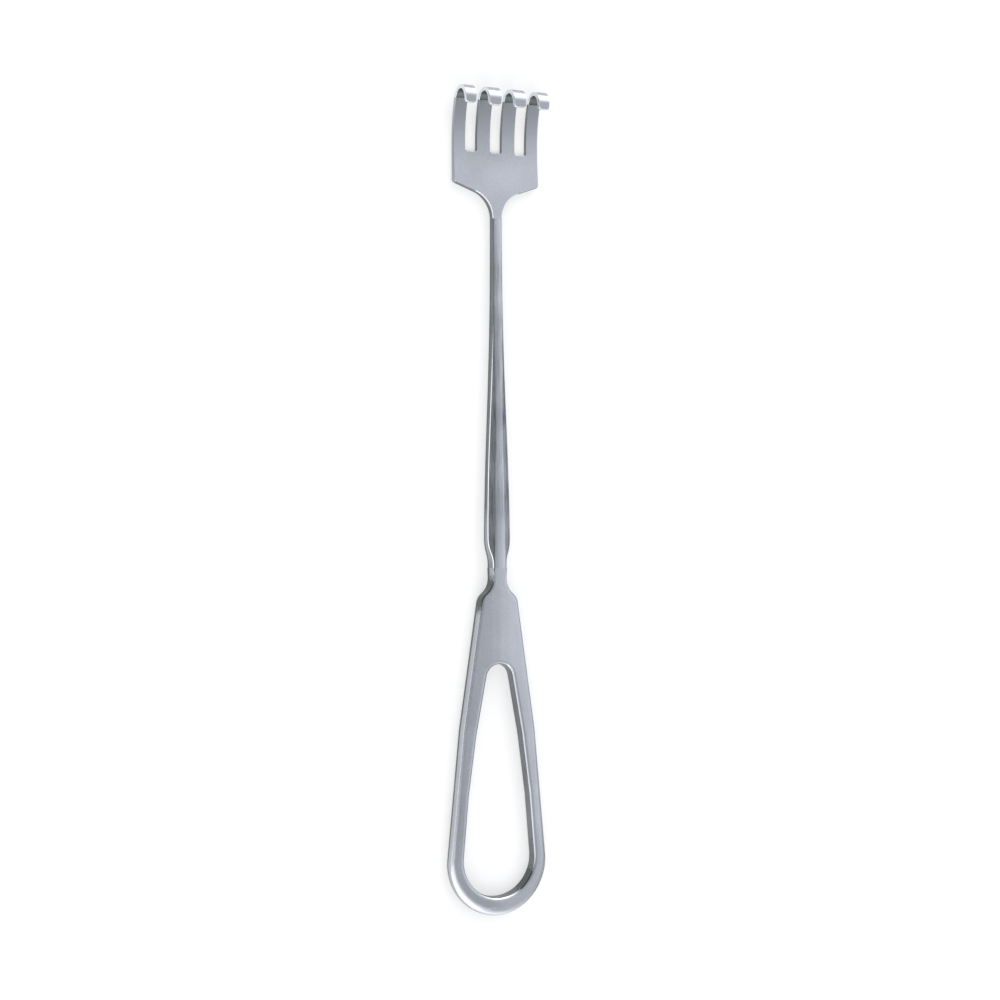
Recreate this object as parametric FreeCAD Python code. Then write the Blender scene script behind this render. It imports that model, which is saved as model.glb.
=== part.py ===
import FreeCAD, Part
import math
import os

# Four-prong rake retractor, lying on its back with the hooks pointing up.
# X runs across the instrument, Y along it towards the rake, and Z up from the tray.
# The origin is in the plane that it lies on, halfway along and on the centre line.
# All sizes are in millimetres and all angles in degrees.

# Lengths of the three pieces, from the end of the loop to the crowns of the hooks
handle_length = 92.0
shank_length = 92.6
head_length = 33.8

# Handle: a flat ring with a web and a neck
handle_thickness = 4.2
loop_end_radius = 14.0
loop_side_bow = 750.0
shoulder_half_width = 5.5
shoulder_radius = 4.0
shoulder_station = 82.2
neck_half_width = 2.0
neck_radius = 5.4
hole_end_wall = 4.9
hole_end_radius = 10.2
hole_top_station = 66.6
hole_top_radius = 3.8
hole_side_bow = 330.0
limb_edge_radius = 1.3

# Shank: a tapering bar with a waist, a swell and four ground facets
waist_straight = 1.0
waist_radius = 8.0
swell_radius = 11.0
swell_half_width = 3.28
lower_station = 26.0
lower_half_width = 2.95
middle_station = 50.0
middle_half_width = 1.98
upper_station = 68.0
upper_half_width = 1.42
shank_end_half_width = 1.3
shank_end_thickness = 2.4
front_flat_width = 2.6
facet_tilt = 20.0
facet_runout_radius = 12.0
facet_runout_length = 2.0

# Rake: a thin plate with a throat, square shoulders, slots and hooked prongs
prong_count = 4
rake_width = 24.7
slot_pitch = 7.2
slot_width = 3.25
slot_root_station = 17.6
slot_corner_radius = 0.5
throat_radius = 7.4
shoulder_slope = 20.0
plate_corner_radius = 0.8
prong_thickness = 1.1
front_bend_radius = 34.0
back_bend_radius = 38.0
hook_radius = 3.15
hook_centre_height = 5.3
tip_straight = 1.6
tip_narrowing = 0.3
tip_corner_radius = 0.8

# Small rounding left on the edges of the neck and the shank, flush across the weld
broken_edge = 0.3

# Cutting solids run past what they cut by the margin; places closer than same_place are one
cut_margin = 1.0
same_place = 0.01

# Places along the instrument
overall_length = handle_length + shank_length + head_length
loop_end = -overall_length / 2
handle_weld = loop_end + handle_length
head_weld = handle_weld + shank_length
rake_half_width = rake_width / 2
clear_height = 2 * hook_centre_height + 2 * hook_radius


def point(x, y, z=0.0):
    return FreeCAD.Vector(x, y, z)


def toward(start, end, distance):
    """Point at a distance from start on the line to end."""
    direction = end - start
    return start + direction * (distance / direction.Length)


def line(start, end):
    return Part.LineSegment(start, end).toShape()


def arc(centre, start, end):
    """Short arc about a centre."""
    middle = (start - centre) + (end - centre)
    on_arc = centre + middle * ((start - centre).Length / middle.Length)
    return Part.Arc(start, on_arc, end).toShape()


def bow_centre(first, first_radius, second, second_radius, bow_radius):
    """Centre, on the left, of the large arc that wraps two circles and touches both."""
    base = second - first
    first_reach = bow_radius - first_radius
    second_reach = bow_radius - second_radius
    along = (first_reach ** 2 - second_reach ** 2 + base.Length ** 2) / (2 * base.Length)
    aside = math.sqrt(first_reach ** 2 - along ** 2)
    left = point(-base.y, base.x) * (1 / base.Length)
    return toward(first, second, along) + left * aside


def closed_face(right_edges, closing_edges):
    """Face bounded by edges on the right, their mirror image, and edges that cross the centre."""
    left_edges = [edge.mirror(point(0, 0), point(1, 0)) for edge in right_edges]
    ordered = Part.sortEdges(right_edges + left_edges + closing_edges)[0]
    return Part.Face(Part.Wire(ordered))


def handle_outline():
    end_centre = point(0, loop_end + loop_end_radius)
    shoulder_x = shoulder_half_width - shoulder_radius
    shoulder_centre = point(shoulder_x, loop_end + shoulder_station)
    side_centre = bow_centre(end_centre, loop_end_radius, shoulder_centre, shoulder_radius, loop_side_bow)
    neck_x = neck_half_width + neck_radius
    reach = shoulder_radius + neck_radius
    neck_y = shoulder_centre.y + math.sqrt(reach ** 2 - (neck_x - shoulder_x) ** 2)
    neck_centre = point(neck_x, neck_y)

    bottom = point(0, loop_end)
    side_start = toward(side_centre, end_centre, loop_side_bow)
    side_end = toward(side_centre, shoulder_centre, loop_side_bow)
    neck_start = toward(shoulder_centre, neck_centre, shoulder_radius)
    neck_end = point(neck_half_width, neck_y)
    weld = point(neck_half_width, handle_weld)
    edges = [
        arc(end_centre, bottom, side_start),
        arc(side_centre, side_start, side_end),
        arc(shoulder_centre, side_end, neck_start),
        arc(neck_centre, neck_start, neck_end),
        line(neck_end, weld),
    ]
    return closed_face(edges, [line(weld, point(-weld.x, weld.y))])


def hole_outline():
    end_centre = point(0, loop_end + hole_end_wall + hole_end_radius)
    top_centre = point(0, loop_end + hole_top_station - hole_top_radius)
    side_centre = bow_centre(end_centre, hole_end_radius, top_centre, hole_top_radius, hole_side_bow)
    bottom = end_centre - point(0, hole_end_radius)
    top = top_centre + point(0, hole_top_radius)
    side_start = toward(side_centre, end_centre, hole_side_bow)
    side_end = toward(side_centre, top_centre, hole_side_bow)
    edges = [
        arc(end_centre, bottom, side_start),
        arc(side_centre, side_start, side_end),
        arc(top_centre, side_end, top),
    ]
    return closed_face(edges, [])


def round_edges(shape, radius_at):
    """Round the edges for which radius_at gives a radius at both ends, changing evenly between."""
    chosen = []
    for number, edge in enumerate(shape.Edges, start=1):
        first = radius_at(edge, edge.valueAt(edge.FirstParameter))
        last = radius_at(edge, edge.valueAt(edge.LastParameter))
        if first and last:
            chosen.append((number, first, last))
    document = FreeCAD.newDocument("rounding")
    blank = document.addObject("Part::Feature", "Blank")
    blank.Shape = shape
    rounding = document.addObject("Part::Fillet", "Rounding")
    rounding.Base = blank
    rounding.Edges = chosen
    document.recompute()
    rounded = rounding.Shape.copy()
    FreeCAD.closeDocument(document.Name)
    return rounded


def is_upright(edge):
    box = edge.BoundBox
    return box.ZLength > box.XLength + box.YLength


def facet_tool(height, direction, upward):
    """Solid that grinds one corner of the bar flat and runs out on the web in an arc."""
    tilt = math.radians(facet_tilt)
    across = point(math.cos(tilt), 0, -upward * math.sin(tilt))
    outward = across.cross(direction) * upward
    inner_end = point(front_flat_width / 2, handle_weld, height)
    runout_start = inner_end - direction * facet_runout_length - across
    lift = facet_runout_radius
    head_end = runout_start + direction * (facet_runout_length + shank_length + lift)
    half_turn = math.radians(90) / 2
    middle = direction * -math.sin(half_turn) + outward * (1 - math.cos(half_turn))
    runout_end = runout_start + (outward - direction) * lift
    profile = Part.Wire([
        line(head_end, runout_start),
        Part.Arc(runout_start, runout_start + middle * lift, runout_end).toShape(),
        line(runout_end, head_end + outward * lift),
        line(head_end + outward * lift, head_end),
    ])
    return Part.Face(profile).extrude(across * (shoulder_half_width + cut_margin))


def grind_facets(shape):
    """Cut the four corner facets that run from the web to the rake."""
    fall = point(0, shank_length, shank_end_thickness - handle_thickness)
    fall.normalize()
    front = facet_tool(handle_thickness, fall, 1)
    back = facet_tool(0, point(0, 1, 0), -1)
    tools = [front, back]
    tools += [tool.mirror(point(0, 0), point(1, 0)) for tool in tools]
    return shape.cut(tools)


def handle_edge_radius(edge, place):
    """Full rounding round the loop and the web, fading along the neck arcs to a broken edge."""
    if is_upright(edge) or edge.BoundBox.YMin > handle_weld - same_place:
        return 0
    on_loop = place.y < loop_end + shoulder_station + shoulder_radius
    return limb_edge_radius if on_loop else broken_edge


def make_handle():
    blank = handle_outline().extrude(point(0, 0, handle_thickness))
    hole = hole_outline().extrude(point(0, 0, handle_thickness))
    return grind_facets(round_edges(blank.cut(hole), handle_edge_radius))


def shank_outline():
    waist_centre = point(neck_half_width + waist_radius, handle_weld + waist_straight)
    swell_x = swell_half_width - swell_radius
    reach = waist_radius + swell_radius
    swell_y = waist_centre.y + math.sqrt(reach ** 2 - (waist_centre.x - swell_x) ** 2)
    swell_centre = point(swell_x, swell_y)

    weld = point(neck_half_width, handle_weld)
    waist = point(neck_half_width, waist_centre.y)
    swell_start = toward(swell_centre, waist_centre, swell_radius)
    swell = point(swell_half_width, swell_y)
    end = point(shank_end_half_width, head_weld)
    stations = [
        swell,
        point(lower_half_width, handle_weld + lower_station),
        point(middle_half_width, handle_weld + middle_station),
        point(upper_half_width, handle_weld + upper_station),
        end,
    ]
    taper = Part.BSplineCurve()
    taper.interpolate(Points=stations, InitialTangent=point(0, 1), FinalTangent=point(0, 1))
    edges = [
        line(weld, waist),
        arc(waist_centre, waist, swell_start),
        arc(swell_centre, swell_start, swell),
        taper.toShape(),
    ]
    across = [line(point(-weld.x, weld.y), weld), line(end, point(-end.x, end.y))]
    return closed_face(edges, across)


def shank_edge_radius(edge, place):
    box = edge.BoundBox
    return 0 if is_upright(edge) or box.YLength < same_place else broken_edge


def make_shank():
    blank = shank_outline().extrude(point(0, 0, handle_thickness))
    side = Part.Face(Part.makePolygon([
        point(-swell_half_width, handle_weld, 0),
        point(-swell_half_width, head_weld, 0),
        point(-swell_half_width, head_weld, shank_end_thickness),
        point(-swell_half_width, handle_weld, handle_thickness),
        point(-swell_half_width, handle_weld, 0),
    ]))
    bar = blank.common(side.extrude(point(2 * swell_half_width, 0, 0)))
    return grind_facets(round_edges(bar, shank_edge_radius))


def bend_centre(face_point, face_direction, bend_radius, hook_centre, hook_face_radius):
    """Centre of the arc that leaves a straight face and runs smoothly into a hook face."""
    up = FreeCAD.Vector(0, -face_direction.z, face_direction.y)
    offset_point = face_point + up * bend_radius
    to_hook = hook_centre - offset_point
    along = to_hook.dot(face_direction)
    aside = to_hook.dot(up)
    reach = bend_radius - hook_face_radius
    return offset_point + face_direction * (along - math.sqrt(reach ** 2 - aside ** 2))


def head_profile():
    """Side view of the rake, from the weld to the tip of a hook, as a face at x = 0."""
    inner_radius = hook_radius - prong_thickness / 2
    outer_radius = hook_radius + prong_thickness / 2
    hook_y = head_weld + head_length - outer_radius
    hook_centre = point(0, hook_y, hook_centre_height)

    back_start = point(0, head_weld, 0)
    along = point(0, 1, 0)
    back_centre = bend_centre(back_start, along, back_bend_radius, hook_centre, outer_radius)
    back_bend_start = point(0, back_centre.y, 0)
    back_bend_end = toward(back_centre, hook_centre, back_bend_radius)

    front_start = point(0, head_weld, shank_end_thickness)
    slope = point(0, back_centre.y - head_weld, prong_thickness - shank_end_thickness)
    slope.normalize()
    front_centre = bend_centre(front_start, slope, front_bend_radius, hook_centre, inner_radius)
    front_bend_start = front_start + slope * (front_centre - front_start).dot(slope)
    front_bend_end = toward(front_centre, hook_centre, front_bend_radius)

    outer_crown = hook_centre + point(0, outer_radius, 0)
    inner_crown = hook_centre + point(0, inner_radius, 0)
    outer_top = hook_centre + point(0, 0, outer_radius)
    inner_top = hook_centre + point(0, 0, inner_radius)
    outer_tip = outer_top - point(0, tip_straight, 0)
    inner_tip = inner_top - point(0, tip_straight, 0)
    edges = [
        line(back_start, back_bend_start),
        arc(back_centre, back_bend_start, back_bend_end),
        arc(hook_centre, back_bend_end, outer_crown),
        arc(hook_centre, outer_crown, outer_top),
        line(outer_top, outer_tip),
        line(outer_tip, inner_tip),
        line(inner_tip, inner_top),
        arc(hook_centre, inner_top, inner_crown),
        arc(hook_centre, inner_crown, front_bend_end),
        arc(front_centre, front_bend_end, front_bend_start),
        line(front_bend_start, front_start),
        line(front_start, back_start),
    ]
    return Part.Face(Part.Wire(edges))


def plate_outline():
    """Plan of the rake: a throat that opens from the shank into square shoulders."""
    throat_turn = math.radians(90 - shoulder_slope)
    throat_centre = point(shank_end_half_width + throat_radius, head_weld)
    weld = point(shank_end_half_width, head_weld)
    throat_end = throat_centre + point(-math.cos(throat_turn), math.sin(throat_turn)) * throat_radius
    shoulder = point(math.sin(throat_turn), math.cos(throat_turn))
    corner = throat_end + shoulder * ((rake_half_width - throat_end.x) / shoulder.x)
    setback = plate_corner_radius * math.tan(throat_turn / 2)
    corner_start = corner - shoulder * setback
    corner_end = corner + point(0, setback)
    corner_centre = corner_end - point(plate_corner_radius, 0)
    far_end = point(rake_half_width, head_weld + head_length)
    edges = [
        arc(throat_centre, weld, throat_end),
        line(throat_end, corner_start),
        arc(corner_centre, corner_start, corner_end),
        line(corner_end, far_end),
    ]
    across = [line(point(-weld.x, weld.y), weld), line(far_end, point(-far_end.x, far_end.y))]
    return closed_face(edges, across)


def rounded_block(bottom_width, top_width, bottom_y, top_y, corner_radius):
    """Upright block, centred on x = 0, with its two corners at bottom_y rounded."""
    outline = Part.makePolygon([
        point(-bottom_width / 2, bottom_y),
        point(bottom_width / 2, bottom_y),
        point(top_width / 2, top_y),
        point(-top_width / 2, top_y),
        point(-bottom_width / 2, bottom_y),
    ])
    block = Part.Face(outline).extrude(point(0, 0, clear_height))
    uprights = filter(is_upright, block.Edges)
    corners = [edge for edge in uprights if edge.BoundBox.YMax < bottom_y + same_place]
    return block.makeFillet(corner_radius, corners)


def prong_sides(index):
    """Left and right sides of a prong; the outermost ones end at the plate's own sides."""
    centre = (index - (prong_count - 1) / 2) * slot_pitch
    half_width = (slot_pitch - slot_width) / 2
    left = max(centre - half_width, -rake_half_width)
    right = min(centre + half_width, rake_half_width)
    return left, right


def make_rake_head():
    profile = head_profile()
    profile.translate(point(-rake_half_width, 0, 0))
    blank = profile.extrude(point(rake_width, 0, 0))
    plan = plate_outline().extrude(point(0, 0, clear_height))
    head = blank.common(plan)

    slot_root = head_weld + slot_root_station
    head_end = head_weld + head_length
    slot = rounded_block(slot_width, slot_width, slot_root, head_end + cut_margin, slot_corner_radius)
    for index in range(prong_count - 1):
        offset = (index - (prong_count - 2) / 2) * slot_pitch
        head = head.cut(slot.translated(point(offset, 0)))

    taper_start = head_end - prong_thickness
    tip_end = head_end - hook_radius - prong_thickness / 2 - tip_straight
    waste = Part.makeBox(rake_width, taper_start - tip_end, clear_height)
    waste.translate(point(-rake_half_width, tip_end, hook_centre_height))
    for index in range(prong_count):
        left, right = prong_sides(index)
        width = right - left
        tip = rounded_block(width - 2 * tip_narrowing, width, tip_end, taper_start, tip_corner_radius)
        waste = waste.cut(tip.translated(point((left + right) / 2, 0)))
    return head.cut(waste)


os.makedirs("parts", exist_ok=True)
subparts = {
    "handle": make_handle(),
    "shank": make_shank(),
    "rake_head": make_rake_head(),
}
for name, shape in subparts.items():
    shape.exportStep("parts/" + name + ".step")
    print(name, "volume", round(shape.Volume, 1), "solids", len(shape.Solids), "valid", shape.isValid())
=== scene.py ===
# %% [markdown]
# # A rake retractor in satin steel
#
# The object is one rigid hand instrument in three steel pieces: a rake with hooked prongs, a slender
# shank with ground facets, and a flat loop handle. It lies on its back, so +Z is the side that the hooks
# turn to, and +Y runs from the loop to the rake. The pieces could be modelled by eye, but here the packed
# model is a fixed frame, and every piece takes its place and its size from it, so that the look and the
# construction can't drift apart.

# %% Load the frame and keep its box
import bpy
import bmesh
import math
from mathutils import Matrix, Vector


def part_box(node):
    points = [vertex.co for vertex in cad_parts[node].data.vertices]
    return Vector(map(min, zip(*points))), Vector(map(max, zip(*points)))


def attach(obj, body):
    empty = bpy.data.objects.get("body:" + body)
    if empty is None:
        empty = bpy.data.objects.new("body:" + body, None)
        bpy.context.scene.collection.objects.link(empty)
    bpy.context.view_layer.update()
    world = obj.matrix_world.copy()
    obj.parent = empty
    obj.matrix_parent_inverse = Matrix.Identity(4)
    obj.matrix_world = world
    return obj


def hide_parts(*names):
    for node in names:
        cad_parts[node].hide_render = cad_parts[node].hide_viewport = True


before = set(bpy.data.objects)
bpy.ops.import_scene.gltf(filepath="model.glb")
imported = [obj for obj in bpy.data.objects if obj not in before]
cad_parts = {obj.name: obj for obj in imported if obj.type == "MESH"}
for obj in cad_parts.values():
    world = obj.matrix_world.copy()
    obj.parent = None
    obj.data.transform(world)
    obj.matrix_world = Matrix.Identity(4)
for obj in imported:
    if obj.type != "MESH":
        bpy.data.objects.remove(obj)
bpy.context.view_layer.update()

MM = 0.001
handle_low, handle_high = (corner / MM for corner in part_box("handle"))
shank_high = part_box("shank")[1] / MM
rake_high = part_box("rake_head")[1] / MM
loop_end = handle_low.y
handle_weld = handle_high.y
head_weld = shank_high.y
rake_end = rake_high.y
print("instrument runs from", round(loop_end, 1), "to", round(rake_end, 1), "mm")

# %% [markdown]
# ## Noise for the steel
#
# The real steel is matt from fine blasting and brushing: a cool grey metal whose shine is spread wide.
# A picture of steel could be laid over it. Noise is chosen instead, because it needs no unwrapping, has
# no seams and stays sharp from near. Each noise below is given by its bumps per metre and its levels of
# detail. Brushing shows as noise that is stretched along the instrument.

# %% Noises
CLOUDS = (90, 3)
STREAKS = (5000, 4)
GRAIN = (9000, 2)
BLAST_MARKS = (2200, 2)
BRUSH_MARKS = (2400, 2)
FLECKS = (1400, 3)
BRUSH_STRETCH = (1.0, 0.05, 1.0)


def noise(tree, fineness, place):
    """Grey noise of one fineness, laid out over the places that a socket gives."""
    scale, detail = fineness
    texture = tree.nodes.new("ShaderNodeTexNoise")
    texture.inputs["Scale"].default_value = scale
    texture.inputs["Detail"].default_value = detail
    tree.links.new(place, texture.inputs["Vector"])
    return texture.outputs["Fac"]


print("finest grain is", round(1 / GRAIN[0] / MM, 2), "mm across")

# %% [markdown]
# ## Mottled colour
#
# Steel that is finished by hand is never one even grey. It could be one flat colour, which would look
# like plastic. Here wide clouds and fine marks are mixed half and half, and a colour ramp turns them into
# greys a little darker and a little lighter than the finish's own.

# %% Mottling
CLOUD_SHARE = 0.5
RAMP_LOW, RAMP_HIGH = 0.3, 0.7


def mottled(tree, colour, mottling, clouds, marks):
    """A colour that goes darker and lighter by the share of mottling."""
    mottle = tree.nodes.new("ShaderNodeMix")
    mottle.inputs["Factor"].default_value = CLOUD_SHARE
    tree.links.new(clouds, mottle.inputs["A"])
    tree.links.new(marks, mottle.inputs["B"])
    tint = tree.nodes.new("ShaderNodeValToRGB")
    darkest, lightest = tint.color_ramp.elements
    darkest.position = RAMP_LOW
    lightest.position = RAMP_HIGH
    darkest.color = (*[c * (1 - mottling) for c in colour], 1)
    lightest.color = (*[c * (1 + mottling) for c in colour], 1)
    tree.links.new(mottle.outputs["Result"], tint.inputs["Fac"])
    return tint.outputs["Color"]


print("clouds have", round(100 * CLOUD_SHARE), "percent of the mottling")

# %% [markdown]
# ## Spots
#
# Some spots are painted light: dark patches of painted shade in two concave corners and on the prongs,
# and brighter patches of painted highlight. Others only blend one grey into another. Such spots could be
# painted by hand. Here a spot is a ball of another colour, given by its place, radius and fade in
# millimetres, and flecks of noise make its rim ragged. It falls in the same place on every finish that
# has it, and it needs no painted picture.

# %% Lay a spot over a colour
RAGGED = 5.0


def spotted(tree, surface, spot, place, flecks):
    """The surface colour with one more spot laid over it."""
    spot_place, spot_radius, fade, spot_colour = spot
    away = tree.nodes.new("ShaderNodeVectorMath")
    away.operation = "DISTANCE"
    away.inputs[1].default_value = Vector(spot_place) * MM
    tree.links.new(place, away.inputs[0])
    ragged = tree.nodes.new("ShaderNodeMath")
    ragged.operation = "MULTIPLY_ADD"
    ragged.inputs[1].default_value = RAGGED * MM
    tree.links.new(flecks, ragged.inputs[0])
    tree.links.new(away.outputs["Value"], ragged.inputs[2])
    rim = spot_radius + RAGGED / 2
    cover = tree.nodes.new("ShaderNodeMapRange")
    cover.inputs["From Min"].default_value = (rim - fade / 2) * MM
    cover.inputs["From Max"].default_value = (rim + fade / 2) * MM
    cover.inputs["To Min"].default_value = 1
    cover.inputs["To Max"].default_value = 0
    tree.links.new(ragged.outputs[0], cover.inputs["Value"])
    blend = tree.nodes.new("ShaderNodeMix")
    blend.data_type = "RGBA"
    blend.inputs["B"].default_value = (*spot_colour, 1)
    tree.links.new(cover.outputs["Result"], blend.inputs["Factor"])
    tree.links.new(surface, blend.inputs["A"])
    return blend.outputs["Result"]


print("rims of spots wander by", RAGGED, "mm at most")

# %% [markdown]
# ## Shine and grain
#
# Seen close, satin steel is a field of fine scratches and pits. They could be real geometry, but they are
# far too small for a mesh. Streaks that vary the roughness break up the shine, and a bump of a few
# thousandths of a millimetre, from streaks and grain together, spreads it.

# %% One recipe for every finish
SHINE_SPREAD = 0.04
BUMP_STRENGTH = 0.5


def add_shine(tree, shader, roughness, streaks):
    """Let the streaks move the roughness a little to both sides."""
    shine = tree.nodes.new("ShaderNodeMapRange")
    shine.inputs["To Min"].default_value = roughness - SHINE_SPREAD
    shine.inputs["To Max"].default_value = roughness + SHINE_SPREAD
    tree.links.new(streaks, shine.inputs["Value"])
    tree.links.new(shine.outputs["Result"], shader.inputs["Roughness"])


def add_grain(tree, shader, grain_depth, streaks, grain):
    """Raise the streaks and the grain by a depth in metres."""
    both = tree.nodes.new("ShaderNodeMath")
    both.operation = "ADD"
    tree.links.new(streaks, both.inputs[0])
    tree.links.new(grain, both.inputs[1])
    bump = tree.nodes.new("ShaderNodeBump")
    bump.inputs["Strength"].default_value = BUMP_STRENGTH
    bump.inputs["Distance"].default_value = grain_depth
    tree.links.new(both.outputs[0], bump.inputs["Height"])
    tree.links.new(bump.outputs["Normal"], shader.inputs["Normal"])


def steel(name, colour, roughness, grain_depth, mottling, spots=(), brushed=False):
    """A finish of the steel. Brushed finishes have their marks stretched along the instrument."""
    material = bpy.data.materials.new(name)
    material.use_nodes = True
    tree = material.node_tree
    shader = tree.nodes["Principled BSDF"]
    shader.inputs["Metallic"].default_value = 1.0
    place = tree.nodes.new("ShaderNodeTexCoord").outputs["Object"]
    stretch = tree.nodes.new("ShaderNodeMapping")
    stretch.inputs["Scale"].default_value = BRUSH_STRETCH
    tree.links.new(place, stretch.inputs["Vector"])
    along = stretch.outputs["Vector"]

    marks = noise(tree, BRUSH_MARKS, along) if brushed else noise(tree, BLAST_MARKS, place)
    surface = mottled(tree, colour, mottling, noise(tree, CLOUDS, place), marks)
    flecks = noise(tree, FLECKS, place)
    for spot in spots:
        surface = spotted(tree, surface, spot, place, flecks)
    tree.links.new(surface, shader.inputs["Base Color"])
    streaks = noise(tree, STREAKS, along)
    add_shine(tree, shader, roughness, streaks)
    add_grain(tree, shader, grain_depth, streaks, noise(tree, GRAIN, place))
    return material


print("roughness varies by", SHINE_SPREAD, "to both sides")

# %% [markdown]
# ## Where the spots are
#
# Two patches of painted shade sit in concave corners: on the left of the neck, just below the weld, and
# at the lower right inside the loop. The loop's end and the waist's wall get painted highlights. The
# prongs
# get painted shade that makes them darker than the plate. Very large balls stand in for straight borders:
# two of them bring the shank's grey to the satin grey where it meets the other pieces, and one turns the
# ridge's painted highlight dark toward the rake. One kind of spot for all of these is simpler than a mask
# for each.

# %% Spots
painted_shade_colour = (0.10, 0.115, 0.115)
satin_colour = (0.475, 0.497, 0.550)
# Place, radius and fade in millimetres, then the colour.
# Painted shade: a dark patch in the concave corner left of the neck, just below the weld.
weld_painted_shade = ((-3.8, -24.2, 2.4), 4.9, 1.5, painted_shade_colour)
# Painted shade: a dark patch in the lower right corner inside the loop.
loop_painted_shade = ((8.2, -100.4, 2.4), 3.4, 1.0, painted_shade_colour)
# Painted highlight: the wide bright band round the loop's lower left end.
loop_painted_highlight = ((-7.0, -109.5, 3.0), 12.0, 10.0, (0.66, 0.68, 0.72))
# Painted highlight: a brighter place on the wall at the waist.
waist_painted_highlight = ((-3.0, -10.0, 2.0), 7.0, 5.0, (0.38, 0.395, 0.42))
# Painted shade: the prongs are coloured darker than the plate.
prong_painted_shade = ((0.0, 166.0, 4.0), 72.0, 9.0, (0.38, 0.40, 0.44))
neck_blend = ((0.0, -97.2, 4.0), 88.0, 12.0, satin_colour)
head_blend = ((0.0, 155.4, 4.0), 88.0, 12.0, satin_colour)
# Darker towards the rake: the ridge's painted highlight turns dark there.
ridge_darker_toward_rake = ((0.0, 141.0, 4.0), 100.0, 14.0, (0.15, 0.16, 0.175))
print("painted shade at the weld is about", round(2 * weld_painted_shade[1], 1), "mm across")

# %% [markdown]
# ## Nine finishes
#
# One steel shows many greys here. Some are finishes of the steel itself, while the brighter edges and
# ridge are painted highlights, and the darker sides and hollows are painted shade.
# Each grey could be a material on an object of its own. It is simpler to give every mesh the same list of
# materials and let each face pick one by its number, so that the tone changes along one clean mesh. A
# finish is given by its colour, roughness, depth of grain in metres, share of mottling and spots.

# %% Finishes
finishes = [
    # Satin steel carries painted shade on the prongs.
    steel("satin steel", satin_colour, 0.30, 0.000004, 0.12, (prong_painted_shade,)),
    # Polished edge: a bright colour that is a painted highlight on the hooks and the throat's edge.
    steel("edge with painted highlight", (0.70, 0.72, 0.76), 0.18, 0.000002, 0.06),
    # The limb edge carries the loop end's painted highlight and the two patches of painted shade.
    steel("limb edge", (0.36, 0.375, 0.40), 0.22, 0.000003, 0.10,
          (loop_painted_highlight, weld_painted_shade, loop_painted_shade)),
    # Dull side: a dark colour that is painted shade on walls and backs.
    steel("side in painted shade", (0.19, 0.20, 0.215), 0.38, 0.000008, 0.30,
          (waist_painted_highlight, weld_painted_shade, loop_painted_shade)),
    # Hook hollow: a very dark colour that is painted shade in the hooks and at the feet of walls.
    steel("hook hollow in painted shade", (0.13, 0.14, 0.145), 0.34, 0.000004, 0.20, (weld_painted_shade,)),
    steel("shank front", (0.365, 0.385, 0.425), 0.28, 0.000004, 0.34,
          (neck_blend, head_blend), brushed=True),
    steel("ground facet", (0.285, 0.300, 0.330), 0.28, 0.000004, 0.60, brushed=True),
    # Shank ridge: a bright colour that is a painted highlight on the ridge.
    steel("shank ridge with painted highlight", (0.70, 0.72, 0.76), 0.18, 0.000002, 0.06, (ridge_darker_toward_rake,)),
    # The limb wall also carries the two patches of painted shade.
    steel("limb wall", (0.45, 0.468, 0.51), 0.26, 0.000004, 0.12, (weld_painted_shade, loop_painted_shade)),
]
FACE, PAINTED_HIGHLIGHT, SIDE, PAINTED_SHADE, DEEP_PAINTED_SHADE, FLAT, FACET, RIDGE_PAINTED_HIGHLIGHT, WALL = range(len(finishes))
print("finishes:", [finish.name for finish in finishes])

# %% [markdown]
# ## Lines and arcs in the flat
#
# Every outline of the instrument is made of straight runs and arcs that meet smoothly, the way a
# draughtsman draws them. They could be drawn as curve objects. Points worked out from circle centres keep
# the curves true and need no conversion, and each arc is cut into short steps. The outlines are in
# millimetres and seen from the front.

# %% Helpers for outlines
ARC_STEP = math.radians(4)
LEAST_ARC_STEPS = 2


def toward(start, end, distance):
    """The point at a distance from start on the way to end."""
    return start + (end - start).normalized() * distance


def swing(centre, start, end, steps):
    """Points on the short arc about a centre, from start to end, in a number of steps."""
    first = start - centre
    across = Vector((-first.y, first.x))
    turn = first.angle_signed(end - centre)
    angles = [-turn * step / steps for step in range(steps + 1)]
    return [centre + first * math.cos(angle) + across * math.sin(angle) for angle in angles]


def arc(centre, start, end):
    """Points on the short arc about a centre, as close as ARC_STEP asks."""
    turn = (start - centre).angle_signed(end - centre)
    return swing(centre, start, end, max(LEAST_ARC_STEPS, math.ceil(abs(turn) / ARC_STEP)))


def chain(*stretches):
    """One list of points from stretches that each start where the last one ends."""
    points = []
    for stretch in stretches:
        points += [p for p in stretch if not points or (p - points[-1]).length > MM]
    return points


def bow_centre(first, first_radius, second, second_radius, bow_radius):
    """Centre, on the left, of the large arc that wraps two circles and touches both."""
    base = second - first
    first_reach = bow_radius - first_radius
    second_reach = bow_radius - second_radius
    along = (first_reach ** 2 - second_reach ** 2 + base.length ** 2) / (2 * base.length)
    aside = math.sqrt(first_reach ** 2 - along ** 2)
    return toward(first, second, along) + Vector((-base.y, base.x)).normalized() * aside


print("arcs step by", round(math.degrees(ARC_STEP)), "degrees")

# %% [markdown]
# ## The profile of a broken edge
#
# A forger starts from a flat blank and breaks its edges. A bevel modifier could round them. Here the
# outline is moved inwards a little at a time while it climbs toward the face, which gives a true quarter
# round in even steps, lets its radius change along the edge and keeps the big faces flat. A slightly
# lower shoulder on the face, the crown, softens the line where a polishing mop has passed. The wall has
# one more line near its foot, so that the foot can be given painted shade.

# %% Inset and profile
EDGE_STEPS = 6
CROWN_REACH = 1.35
SHADE_SHARE = 0.35


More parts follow.
